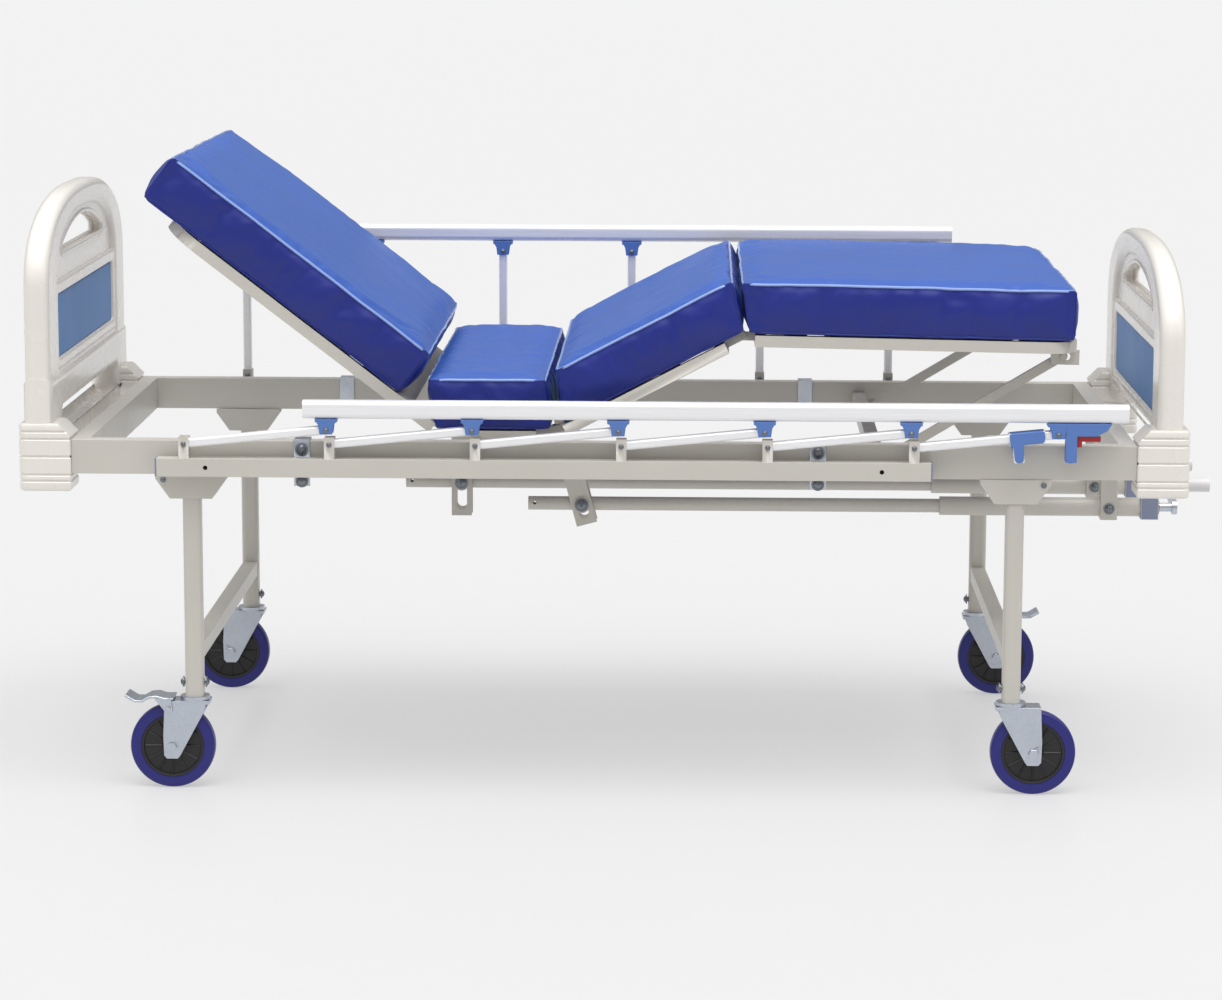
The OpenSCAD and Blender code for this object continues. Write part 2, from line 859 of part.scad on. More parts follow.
module wheel(end, side) {
    r = wheel_d / 2;
    color("#2f55b5")
        at_caster(end, side)
            translate([trail, 0, r]) rotate([90, 0, 0])
                rotate_extrude()
                    polygon([[5 + fit, -18], [14, -18], [16, -11], [r - 21, -11], [r - 18, -15],
                        [r - 5, -15], [r, -9], [r, 9], [r - 5, 15], [r - 18, 15],
                        [r - 21, 11], [16, 11], [14, 18], [5 + fit, 18]]);
}

// The pedal stands over the trailing side of the wheel and turns on the fork's plates
pedal_x = 44;
pedal_z = 146;

module brake(end, side) {
    y0 = wheel_w / 2 + 7.5;
    color("#9aa0a8")
        at_caster(end, side) {
            for (s = [-1, 1])
                difference() {
                    translate([0, s > 0 ? y0 + 3 : -y0, 0]) rotate([90, 0, 0])
                        linear_extrude(height = 3)
                            polygon([[pedal_x - 7, pedal_z - 7], [pedal_x + 7, pedal_z - 7],
                                [pedal_x + 26, 163], [pedal_x - 4, 162]]);
                    pin_y(pedal_x, s * y0 - 5, s * y0 + 5, pedal_z, 3 + fit);
                }
            // a bent foot plate
            translate([0, y0 + 3, 0]) rotate([90, 0, 0])
                linear_extrude(height = 2 * y0 + 6)
                    polygon([[36, 160.5], [54, 160.5], [66, 164], [79, 162.5], [91, 155.5],
                        [105, 155.5], [123, 166], [120, 169.5], [103, 159.5], [92, 159.5],
                        [80, 166.5], [66, 168], [53, 164], [36, 164]]);
        }
}

// ---- Fasteners ----

module fasteners() {
    color("#7d838a") {
        for (side = [near, far]) {
            turn = side * -90;
            // clamp bolts above and below the base bar
            for (x = [-524, 375], z = [608, 552])
                translate([x, side * (half_w + 3), z]) rotate([turn, 0, 0]) dome(9);
            // one bolt at an upper corner of each gusset
            for (x = [-leg_x - 48, leg_x + 48])
                translate([x, side * (half_w + 3), rail_bottom - 9]) rotate([turn, 0, 0]) dome(4);
            // bolts through the crank brackets
            translate([half_len - rail_w / 2, side * (crank_y + 22), crank_z])
                rotate([turn, 0, 0]) dome(8);
            translate([half_len - rail_w / 2, side * (crank_y - 22), crank_z])
                rotate([-turn, 0, 0]) dome(8);
        }
        // bolts that hold the caster stems in the legs
        for (x = [-leg_x, leg_x], y = [-leg_y, leg_y], s = [-1, 1])
            translate([x + s * leg_w / 2, y, 189]) rotate([0, s * 90, 0]) {
                cylinder(h = 4, r = 5);
                translate([0, 0, 3]) dome(7.5);
            }
    }
}

at_bed() {
    side_rails();
    end_tubes();
    cross_members();
    legs();
    leg_bracing();
    corner_bumpers();
    head_board();
    head_board_panel();
    foot_board();
    foot_board_panel();
    base_bars();
    base_bar_caps();
    rail_clamps();
    fasteners();
    seat_deck();
    seat_mattress();
    crank_sleeves();
    crank_brackets();
    caster_stems();
    backrest_frame();
    backrest_mattress();
    thigh_frame();
    thigh_mattress();
    leg_frame();
    leg_mattress();
    swing_bars();
    back_push_tube();
    knee_push_tube();
    crank(crank_y, 600);  // back_crank
    crank_grip(crank_y);  // back_crank_grip
    crank(-crank_y, 600);  // knee_crank
    crank_grip(-crank_y);  // knee_crank_grip
    guard_upright(near, 1);  // near_upright_1
    guard_upright(near, 2);  // near_upright_2
    guard_upright(near, 3);  // near_upright_3
    guard_upright(near, 4);  // near_upright_4
    guard_upright(near, 5);  // near_upright_5
    guard_upright(near, 6);  // near_upright_6
    top_rail(near);  // near_top_rail
    rail_fittings(near);  // near_rail_fittings
    trigger(near);  // near_trigger
    guard_upright(far, 1);  // far_upright_1
    guard_upright(far, 2);  // far_upright_2
    guard_upright(far, 3);  // far_upright_3
    guard_upright(far, 4);  // far_upright_4
    guard_upright(far, 5);  // far_upright_5
    guard_upright(far, 6);  // far_upright_6
    top_rail(far);  // far_top_rail
    rail_fittings(far);  // far_rail_fittings
    trigger(far);  // far_trigger
    fork(head, near, true);  // near_head_fork
    fork(foot, near, false);  // near_foot_fork
    fork(head, far, false);  // far_head_fork
    fork(foot, far, true);  // far_foot_fork
    wheel(head, near);  // near_head_wheel
    wheel(foot, near);  // near_foot_wheel
    wheel(head, far);  // far_head_wheel
    wheel(foot, far);  // far_foot_wheel
    brake(head, near);  // near_head_brake
    brake(foot, far);  // far_foot_brake
}
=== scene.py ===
"""Looks of a two-crank hospital bed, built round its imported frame. All lengths are in metres."""

import json
import math

import bmesh
import bpy
import numpy as np
from mathutils import Matrix, Vector
from mathutils import noise as field
from mathutils.bvhtree import BVHTree
from mathutils.geometry import tessellate_polygon

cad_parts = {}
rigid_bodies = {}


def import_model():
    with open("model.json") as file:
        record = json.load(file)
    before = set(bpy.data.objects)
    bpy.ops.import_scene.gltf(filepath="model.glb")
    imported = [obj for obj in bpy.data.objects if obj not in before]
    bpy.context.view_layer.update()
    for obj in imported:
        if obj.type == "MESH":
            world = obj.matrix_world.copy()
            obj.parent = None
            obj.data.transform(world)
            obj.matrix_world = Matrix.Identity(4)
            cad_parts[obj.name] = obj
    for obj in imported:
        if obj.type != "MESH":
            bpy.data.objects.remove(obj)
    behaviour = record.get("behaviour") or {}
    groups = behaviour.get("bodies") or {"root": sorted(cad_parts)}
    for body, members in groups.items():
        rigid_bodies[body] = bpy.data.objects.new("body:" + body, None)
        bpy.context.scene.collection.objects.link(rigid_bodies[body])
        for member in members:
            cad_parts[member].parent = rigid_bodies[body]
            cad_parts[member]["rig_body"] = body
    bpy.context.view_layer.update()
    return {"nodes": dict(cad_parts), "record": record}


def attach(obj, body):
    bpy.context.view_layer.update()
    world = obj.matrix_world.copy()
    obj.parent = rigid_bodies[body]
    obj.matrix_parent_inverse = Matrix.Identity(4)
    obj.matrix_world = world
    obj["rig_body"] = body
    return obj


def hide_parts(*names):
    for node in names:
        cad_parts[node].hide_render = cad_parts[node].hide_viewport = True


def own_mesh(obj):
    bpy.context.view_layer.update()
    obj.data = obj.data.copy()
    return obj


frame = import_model()
nodes = frame["nodes"]
MM = 0.001
BED_X = -0.045  # where the bed's own middle stands in the row


def bed(x, y, z):
    """A point given in millimetres from the bed's own middle."""
    return Vector((x * MM + BED_X, y * MM, z * MM))


# ---------------------------------------------------------------- camera, floor and light

scene = bpy.context.scene
scene.view_settings.view_transform = "Standard"


def add_camera():
    yaw, pitch, roll = -0.0238, 0.1628, -0.0031
    right = Vector((math.cos(yaw), -math.sin(yaw), 0))
    forward = Vector((math.cos(pitch) * math.sin(yaw), math.cos(pitch) * math.cos(yaw), -math.sin(pitch)))
    up = right.cross(forward)
    across = right * math.cos(roll) - up * math.sin(roll)
    upward = right * math.sin(roll) + up * math.cos(roll)
    data = bpy.data.cameras.new("camera")
    data.sensor_width = 36.0
    data.lens = 109.2
    data.clip_end = 400.0
    camera = bpy.data.objects.new("camera", data)
    turn = Matrix((across, upward, -forward)).transposed().to_4x4()
    camera.matrix_world = Matrix.Translation((0.122, -6.806, 1.569)) @ turn
    scene.collection.objects.link(camera)
    scene.camera = camera


class Nodes:
    """A short way to write shader nodes."""

    def __init__(self, tree):
        self.tree = tree

    def add(self, kind, inputs=None, **props):
        node = self.tree.nodes.new(kind)
        for key, value in props.items():
            setattr(node, key, value)
        for key, value in (inputs or {}).items():
            self.put(node.inputs[key], value)
        return node

    def put(self, socket, value):
        if isinstance(value, bpy.types.NodeSocket):
            self.tree.links.new(value, socket)
        else:
            socket.default_value = value

    def math(self, operation, a, b):
        return self.add("ShaderNodeMath", {0: a, 1: b}, operation=operation).outputs[0]

    def spread(self, value, low, high, to_low=0.0, to_high=1.0):
        return self.add("ShaderNodeMapRange", {"Value": value, "From Min": low, "From Max": high,
                                               "To Min": to_low, "To Max": to_high}).outputs[0]

    def mix(self, share, a, b):
        node = self.add("ShaderNodeMix", data_type="RGBA")
        self.put(node.inputs["Factor"], share)
        self.put(node.inputs[6], a)
        self.put(node.inputs[7], b)
        return node.outputs[2]


def add_world():
    world = bpy.data.worlds.new("studio")
    scene.world = world
    world.use_nodes = True
    n = Nodes(world.node_tree)
    world.node_tree.nodes.clear()
    way = n.add("ShaderNodeTexCoord").outputs["Generated"]
    parts = n.add("ShaderNodeSeparateXYZ", {"Vector": way})
    level = n.spread(parts.outputs["Z"], 0.0, 0.85, 0.14, 0.98)

    def softbox(direction, wide, narrow, strength):
        toward = n.add("ShaderNodeVectorMath", {0: way, 1: Vector(direction).normalized()},
                       operation="DOT_PRODUCT")
        return n.math("MULTIPLY", n.spread(toward.outputs["Value"], wide, narrow), strength)

    level = n.math("ADD", level, softbox((-0.1, -0.35, 0.9), 0.80, 0.93, 0.9))
    level = n.math("ADD", level, softbox((0.75, -0.35, 0.55), 0.86, 0.95, 0.45))
    level = n.math("ADD", level, softbox((-0.75, -0.3, 0.55), 0.86, 0.95, 0.35))
    shade = n.add("ShaderNodeBackground", {"Color": (1.0, 1.0, 1.0, 1.0), "Strength": level})
    out = n.add("ShaderNodeOutputWorld")
    world.node_tree.links.new(shade.outputs[0], out.inputs["Surface"])


def add_sun(name, toward, strength, angle):
    data = bpy.data.lights.new(name, "SUN")
    data.energy = strength
    data.angle = math.radians(angle)
    sun = bpy.data.objects.new(name, data)
    sun.rotation_euler = Vector(toward).to_track_quat("-Z", "Y").to_euler()
    scene.collection.objects.link(sun)


def add_floor():
    mesh = bpy.data.meshes.new("floor")
    bm = bmesh.new()
    bmesh.ops.create_circle(bm, cap_ends=True, segments=96, radius=150.0)
    bm.to_mesh(mesh)
    bm.free()
    floor = bpy.data.objects.new("floor", mesh)
    scene.collection.objects.link(floor)
    mat, n, shader = new_material("floor_paper", (0.29, 0.29, 0.29), 0.42)
    shader.inputs["Specular IOR Level"].default_value = 0.12
    shader.inputs["Emission Color"].default_value = (1.0, 1.0, 1.0, 1.0)
    shader.inputs["Emission Strength"].default_value = 0.455
    grain = noise(n, 6.0, 3.0)
    n.put(shader.inputs["Base Color"], n.mix(grain, (0.287, 0.287, 0.287, 1), (0.293, 0.293, 0.293, 1)))
    mesh.materials.append(mat)


# ---------------------------------------------------------------- materials


def new_material(name, color, rough, metal=0.0, **sockets):
    mat = bpy.data.materials.new(name)
    mat.use_nodes = True
    mat.diffuse_color = (*color, 1.0)
    n = Nodes(mat.node_tree)
    shader = mat.node_tree.nodes["Principled BSDF"]
    shader.inputs["Base Color"].default_value = (*color, 1.0)
    shader.inputs["Roughness"].default_value = rough
    shader.inputs["Metallic"].default_value = metal
    for key, value in sockets.items():
        shader.inputs[key.replace("_", " ")].default_value = value
    return mat, n, shader


def place(n, stretch=(1, 1, 1)):
    coord = n.add("ShaderNodeTexCoord").outputs["Object"]
    return n.add("ShaderNodeMapping", {"Vector": coord, "Scale": stretch}).outputs[0]


def noise(n, scale, detail, stretch=(1, 1, 1)):
    return n.add("ShaderNodeTexNoise", {"Vector": place(n, stretch), "Scale": scale,
                                        "Detail": detail}).outputs["Fac"]


def bump(n, shader, layers):
    """layers are (height socket, distance in metres) pairs, laid over each other."""
    normal = None
    for height, distance in layers:
        node = n.add("ShaderNodeBump", {"Height": height, "Distance": distance, "Strength": 1.0})
        if normal is not None:
            n.put(node.inputs["Normal"], normal)
        normal = node.outputs["Normal"]
    n.put(shader.inputs["Normal"], normal)


def shades(n, shader, share, dark, light):
    n.put(shader.inputs["Base Color"], n.mix(share, (*dark, 1.0), (*light, 1.0)))


def scaled(color, factor):
    return tuple(c * factor for c in color)


def powder_coat(name, color):
    mat, n, shader = new_material(name, color, 0.34)
    shades(n, shader, noise(n, 5.0, 4.0), scaled(color, 0.93), scaled(color, 1.05))
    n.put(shader.inputs["Roughness"], n.spread(noise(n, 60.0, 3.0), 0.0, 1.0, 0.24, 0.46))
    bump(n, shader, [(noise(n, 90.0, 1.0), 0.00006)])
    return mat


def moulded(name, color, rough, coat):
    mat, n, shader = new_material(name, color, rough, Coat_Weight=coat, Coat_Roughness=0.12)
    shades(n, shader, noise(n, 4.0, 2.0), scaled(color, 0.96), scaled(color, 1.03))
    n.put(shader.inputs["Roughness"], n.spread(noise(n, 9.0, 1.0), 0.0, 1.0, rough - 0.05, rough + 0.06))
    bump(n, shader, [(noise(n, 80.0, 1.0), 0.00003)])
    return mat


def vinyl(name, shaded_sides, top):
    """Coated nylon. The pad's own normal tells the border panels from the top panel: the paler top colour is
    painted light and painted sheen, the darker border colour painted shade, both on one nylon.
    """
    mat, n, shader = new_material(name, shaded_sides, 0.44, Sheen_Weight=0.12, Sheen_Roughness=0.35)
    shader.inputs["Sheen Tint"].default_value = (0.5, 0.8, 1.0, 1.0)
    normal = n.add("ShaderNodeTexCoord").outputs["Normal"]
    upward = n.add("ShaderNodeSeparateXYZ", {"Vector": normal}).outputs["Z"]
    wide = noise(n, 3.5, 4.0)
    # painted light: the sides get a shaded copy of the nylon, faces turned up a lit copy with painted sheen
    sides = n.mix(wide, (*scaled(shaded_sides, 0.8), 1.0), (*scaled(shaded_sides, 1.3), 1.0))
    panel = n.mix(wide, (*scaled(top, 0.9), 1.0), (*scaled(top, 1.18), 1.0))
    n.put(shader.inputs["Base Color"], n.mix(n.spread(upward, 0.62, 0.74), sides, panel))
    n.put(shader.inputs["Roughness"], n.spread(noise(n, 14.0, 4.0), 0.0, 1.0, 0.32, 0.58))
    bump(n, shader, [(noise(n, 70.0, 1.0), 0.00012), (noise(n, 26.0, 1.0), 0.0005),
                     (noise(n, 8.0, 1.0), 0.0013)])
    return mat


def brushed(name, color, rough, metal, stretch):
    mat, n, shader = new_material(name, color, rough, metal)
    lines = noise(n, 7.0, 3.0, stretch)
    shades(n, shader, n.spread(lines, 0.3, 0.7), scaled(color, 0.93), scaled(color, 1.04))
    n.put(shader.inputs["Roughness"], n.spread(lines, 0.25, 0.75, rough - 0.07, rough + 0.09))
    bump(n, shader, [(lines, 0.00005)])
    return mat


def zinc(name, color, rough=0.33):
    mat, n, shader = new_material(name, color, rough, 1.0)
    flakes = n.add("ShaderNodeTexVoronoi", {"Vector": place(n), "Scale": 420.0}).outputs["Color"]
    flake = n.add("ShaderNodeSeparateColor", {"Color": flakes}).outputs[0]
    shades(n, shader, flake, scaled(color, 0.94), scaled(color, 1.04))
    n.put(shader.inputs["Roughness"], n.spread(noise(n, 30.0, 3.0), 0.3, 0.7, rough - 0.06, rough + 0.08))
    bump(n, shader, [(noise(n, 110.0, 1.0), 0.00004)])
    return mat


# ---------------------------------------------------------------- mesh tools


def apply_modifiers(obj):
    seen = obj.evaluated_get(bpy.context.evaluated_depsgraph_get())
    obj.data = bpy.data.meshes.new_from_object(seen)
    obj.modifiers.clear()


def make_object(name, bm, material, body, slot=None, stands_for=(), sharp=38.0):
    """Turns a bmesh in row coordinates into a piece that rides on a body."""
    bmesh.ops.recalc_face_normals(bm, faces=bm.faces)
    mesh = bpy.data.meshes.new(name)
    bm.to_mesh(mesh)
    bm.free()
    mesh.materials.append(material)
    mesh.shade_smooth()
    mesh.set_sharp_from_angle(angle=math.radians(sharp))
    piece = bpy.data.objects.new(name, mesh)
    scene.collection.objects.link(piece)
    even = piece.modifiers.new("even", "WEIGHTED_NORMAL")
    even.keep_sharp = True
    apply_modifiers(piece)
    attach(piece, body)
    if stands_for:
        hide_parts(*stands_for)
    return piece


def soften(node, width, small=0.0006, long_edge=0.03, segments=2):
    """A copy of a CAD node with its long outer edges rounded like bent tube and its short ones broken."""
    source = nodes[node]
    bm = bmesh.new()
    bm.from_mesh(source.data)
    bmesh.ops.remove_doubles(bm, verts=bm.verts, dist=0.00002)
    bmesh.ops.dissolve_limit(bm, angle_limit=math.radians(0.6), verts=bm.verts, edges=bm.edges)
    limit = math.radians(50)

    def corners(shortest, longest):
        return [e for e in bm.edges if len(e.link_faces) == 2 and e.is_convex
                and shortest <= e.calc_length() < longest and e.calc_face_angle(0.0) > limit]

    if width:
        bmesh.ops.bevel(bm, geom=corners(long_edge, 9.0), offset=width, segments=segments, profile=0.5,
                        affect="EDGES", clamp_overlap=True)
    if small:
        bmesh.ops.bevel(bm, geom=corners(0.004, 9.0), offset=small, segments=1, profile=0.5,
                        affect="EDGES", clamp_overlap=True)
    slot = slot_of[node]
    make_object(node + "_skin", bm, materials[slot], source["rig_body"], slot, (node,))


def inset_loop(loop, distance):
    """Moves a closed loop of 2D points towards its left side."""
    out = []
    count = len(loop)
    for i in range(count):
        a, b, c = Vector(loop[i - 1]), Vector(loop[i]), Vector(loop[(i + 1) % count])
        d1, d2 = (b - a).normalized(), (c - b).normalized()
        n1, n2 = Vector((-d1.y, d1.x)), Vector((-d2.y, d2.x))
        mid = (n1 + n2).normalized()
        out.append(b + mid * distance / max(0.4, mid.dot(n1)))
    return out


def rounding(thickness, radius, steps=5, ease=1.2):
    """(inset, depth) pairs of a plate's rounded rim, from its front face to its back face."""
    arc = [math.pi / 2 * i / steps for i in range(steps + 1)]
    front = [(radius - radius * math.sin(a), radius - radius * math.cos(a)) for a in arc]
    front = [(radius + ease, 0.0)] + front
    return front + [(inset, thickness - depth) for inset, depth in reversed(front)]


def plate(bm, loops, profile, to_row):
    """A plate with holes: loops[0] runs anticlockwise, the holes clockwise. to_row takes (u, v, depth)."""
    rings = []
    for inset, depth in profile:
        rings.append([[bm.verts.new(to_row(p.x, p.y, depth)) for p in inset_loop(loop, inset)]
                      for loop in loops])
    for a, b in zip(rings, rings[1:]):
        for ring_a, ring_b in zip(a, b):
            count = len(ring_a)
            for i in range(count):
                j = (i + 1) % count
                bm.faces.new((ring_a[i], ring_a[j], ring_b[j], ring_b[i]))
    for ring, (inset, _) in ((rings[0], profile[0]), (rings[-1], profile[-1])):
        flat = [v for loop in ring for v in loop]
        polygons = [[p.to_3d() for p in inset_loop(loop, inset)] for loop in loops]
        for tri in tessellate_polygon(polygons):
            try:
                bm.faces.new([flat[i] for i in tri])
            except ValueError:
                pass


def lathe(bm, profile, to_row, segments):
    """Turns a closed profile of (radius, along) pairs round an axis. to_row takes (u, v, along)."""
    rings = []
    for i in range(segments):
        angle = 2 * math.pi * i / segments
        rings.append([bm.verts.new(to_row(r * math.cos(angle), r * math.sin(angle), along))
                      for r, along in profile])
    count = len(profile)
    for i in range(segments):
        a, b = rings[i], rings[(i + 1) % segments]
        for j in range(count):
            k = (j + 1) % count
            bm.faces.new((a[j], a[k], b[k], b[j]))


def sweep(bm, path, radius, closed=False, sides=8):
    """A round bead along a path of row points."""
    count = len(path)
    rings = []
    side = None
    for i, point in enumerate(path):
        before = path[i - 1] if (i or closed) else point
        after = path[(i + 1) % count] if (i < count - 1 or closed) else point
        along = (after - before).normalized()
        if side is None:
            side = along.orthogonal().normalized()
        side = (side - along * side.dot(along)).normalized()
        other = along.cross(side)
        rings.append([bm.verts.new(point + (side * math.cos(t) + other * math.sin(t)) * radius)
                      for t in (2 * math.pi * k / sides for k in range(sides))])
    pairs = list(zip(rings, rings[1:])) + ([(rings[-1], rings[0])] if closed else [])
    for a, b in pairs:
        if closed and a is rings[-1]:
            start = min(range(sides), key=lambda k: (a[0].co - b[k].co).length)
            b = b[start:] + b[:start]
        for k in range(sides):
            j = (k + 1) % sides
            bm.faces.new((a[k], a[j], b[j], b[k]))
    if not closed:
        bm.faces.new(rings[0])
        bm.faces.new(rings[-1])


def rounded_block(bm, low, high, radius):
    """A block between two row points with round edges."""
    made = bmesh.ops.create_cube(bm, size=1.0)["verts"]
    for v in made:
        v.co = Vector([low[i] + (v.co[i] + 0.5) * (high[i] - low[i]) for i in range(3)])
    edges = list({e for v in made for e in v.link_edges})
    bmesh.ops.bevel(bm, geom=edges, offset=radius, segments=3, profile=0.5, affect="EDGES")


# ---------------------------------------------------------------- head and foot boards

BOARD_X = 1008  # outer face
HALF_W = 431
POST_W = 110
POST_LOW = 602
BOARD_T = 45
WEB_T = 25
PANEL_LOW, PANEL_HIGH = 292, 180  # below the top of the board
INNER = HALF_W - POST_W
ARCH_DROP = 171
ARCH_POWER = 2.5


def arch(half, base, rise, steps=40):
    """Points of an arch from +half to -half, as a rounded power curve."""
    side = [half * (1 - (i / steps) ** 2) for i in range(steps + 1)]
    right = [(y, base + rise * (1 - (y / half) ** ARCH_POWER) ** (1 / ARCH_POWER)) for y in side]
    return right + [(-y, z) for y, z in reversed(right[:-1])]


def rectangle(y0, y1, z0, z1, radius=0.0, steps=4):
    """An anticlockwise rectangle with round corners."""
    if not radius:
        return [(y0, z0), (y1, z0), (y1, z1), (y0, z1)]
    out = []
    for cy, cz, start in ((y1 - radius, z0 + radius, -90), (y1 - radius, z1 - radius, 0),
                          (y0 + radius, z1 - radius, 90), (y0 + radius, z0 + radius, 180)):
        for i in range(steps + 1):
            angle = math.radians(start + 90 * i / steps)
            out.append((cy + radius * math.cos(angle), cz + radius * math.sin(angle)))
    return out


def make_board(name, end, top, web_low, skirt):
    """end is -1 at the head and 1 at the foot. Depth runs from the board's outer face to its inner face."""
    plastic = materials["board_plastic"]
    outer = end * BOARD_X

    def to_row(y, z, depth):
        return bed(outer - end * depth, y, z)

    def at(shift):
        return lambda y, z, depth: to_row(y, z, depth + shift)

    base = top - ARCH_DROP
    bm = bmesh.new()
    # posts and rim
    rim = [(-HALF_W, POST_LOW), (-INNER, POST_LOW)]
    rim += [(y, z) for y, z in reversed(arch(INNER, base, ARCH_DROP - 48))]
    rim += [(INNER, POST_LOW), (HALF_W, POST_LOW)] + arch(HALF_W, base, ARCH_DROP)
    plate(bm, [rim], rounding(BOARD_T, 17.0, 7), at(0.0))
    make_object(name + "_rim", bm, plastic, "root", "board_plastic", (name,))

    # recessed web with its hand hole
    bm = bmesh.new()
    hole = [(230 - 23 * i, top - 56 - 40 * (abs(230 - 23 * i) / 230) ** 2) for i in range(21)]
    hole = [(230, top - 116)] + hole + [(-230, top - 116)]
    hole_cw = list(reversed(round_corners(hole, 9.0)))
    web = [(-INNER - 16, top - 200), (INNER + 16, top - 200)] + arch(INNER + 16, base, ARCH_DROP - 34)
    plate(bm, [web, hole_cw], rounding(WEB_T, 2.0, 3), at(10.0))
    make_object(name + "_web", bm, plastic, "root", "board_plastic")
    bm = bmesh.new()
    for depth in (12.5, 32.5):
        lip = [to_row(y, z, depth) for y, z in round_corners(hole, 9.0)]
        sweep(bm, lip, 5.0 * MM, closed=True, sides=12)
    make_object(name + "_hand_hole_lip", bm, plastic, "root", "board_plastic")

    # panel frame, flush with the posts
    low, high = top - PANEL_LOW, top - PANEL_HIGH
    frame_loop = rectangle(-INNER - 24, INNER + 24, web_low, high + 24)
    window = list(reversed(rectangle(-INNER + 14, INNER - 14, low, high, 7.0)))
    bm = bmesh.new()
    plate(bm, [frame_loop, window], rounding(39, 6.5, 4), at(3.0))
    make_object(name + "_panel_frame", bm, plastic, "root", "board_plastic")
    bm = bmesh.new()
    insert = rectangle(-INNER + 14.6, INNER - 14.6, low + 0.6, high - 0.6, 6.0)
    plate(bm, [insert], rounding(30, 1.5, 2), at(7.5))
    make_object(name + "_blue_insert", bm, materials["board_panel_blue"], "root", "board_panel_blue",
                (name + "_panel",))
    # two beads under the panel on both faces
    bm = bmesh.new()
    for z in (low - 17, low - 31):
        for depth in (3.2, 41.8):
            sweep(bm, [to_row(y, z, depth) for y in np.linspace(-INNER + 6, INNER - 6, 24)], 2.2 * MM)
    if skirt:
        loop = rectangle(-HALF_W - 2.5, HALF_W + 2.5, 603, 728)
        gap = list(reversed(rectangle(-INNER + 12, INNER - 12, 604, 661, 10.0)))
        plate(bm, [loop, gap], rounding(BOARD_T + 5, 15.0, 6), at(-2.5))
    make_object(name + "_beads", bm, plastic, "root", "board_plastic")


def round_corners(loop, radius, steps=4):
    """Rounds the sharp corners of a closed loop of 2D points."""
    out = []
    count = len(loop)
    for i in range(count):
        a, b, c = Vector(loop[i - 1]), Vector(loop[i]), Vector(loop[(i + 1) % count])
        turn = (b - a).angle(c - b)
        if turn < math.radians(30):
            out.append((b.x, b.y))
            continue
        cut = min(radius, (b - a).length * 0.45, (c - b).length * 0.45)
        p, q = b + (a - b).normalized() * cut, b + (c - b).normalized() * cut
        for k in range(steps + 1):
            t = k / steps
            point = p * (1 - t) ** 2 + b * 2 * t * (1 - t) + q * t * t
            out.append((point.x, point.y))
    return out


# ---------------------------------------------------------------- corner bumpers


GROOVE = ((-3.0, 0.0), (-1.8, 1.0), (-1.0, 2.0), (1.0, 2.0), (1.8, 1.0), (3.0, 0.0))  # (rise, inset)


def make_bumpers():
    grooves = (549, 560, 592, 623, 636)
    low, high = 531.0, 650.0
    levels = [(low, 4.0), (low + 1.2, 1.6), (low + 4, 0.0)]
    for z in grooves:
        levels += [(z + rise, inset) for rise, inset in GROOVE]
    levels += [(high - 5, 0.0), (high - 1.6, 1.8), (high, 5.0)]
    levels.sort()
    bm = bmesh.new()
    for end in (-1, 1):
        for side in (-1, 1):
            part = bmesh.new()
            outline = []
            for cx, cy, radius, start in ((1020, 437, 15, 0), (928, 437, 4, 90), (928, 351, 4, 180),
                                          (1020, 351, 9, 270)):
                sx, sy = (1 if cx > 950 else -1), (1 if cy > 400 else -1)
                for k in range(7):
                    angle = math.radians(start + 90 * k / 6)
                    outline.append((cx - sx * radius + radius * math.cos(angle),
                                    cy - sy * radius + radius * math.sin(angle)))
            rings = [[part.verts.new(bed(end * p.x, side * p.y, z)) for p in inset_loop(outline, inset)]
                     for z, inset in levels]
            for a, b in zip(rings, rings[1:]):
                for i in range(len(a)):
                    j = (i + 1) % len(a)
                    part.faces.new((a[i], a[j], b[j], b[i]))
            part.faces.new(rings[0])
            part.faces.new(rings[-1])
            cut = bmesh.ops.bisect_plane(part, geom=part.verts[:] + part.edges[:] + part.faces[:],
                                         plane_co=bed(end * 939, 0, 639), plane_no=(-end, 0, 1),
                                         clear_outer=True)
            edges = [g for g in cut["geom_cut"] if isinstance(g, bmesh.types.BMEdge)]
            bmesh.ops.contextual_create(part, geom=edges)
            mesh = bpy.data.meshes.new("bumper")
            part.to_mesh(mesh)
            part.free()
            bm.from_mesh(mesh)
    make_object("ribbed_corner_bumpers", bm, materials["board_plastic"], "root", "board_plastic",
                ("corner_bumpers",), sharp=30.0)


# ---------------------------------------------------------------- wheels


WHEEL_X, WHEEL_Y, WHEEL_R = 759, 415, 75
SPOKES = 12


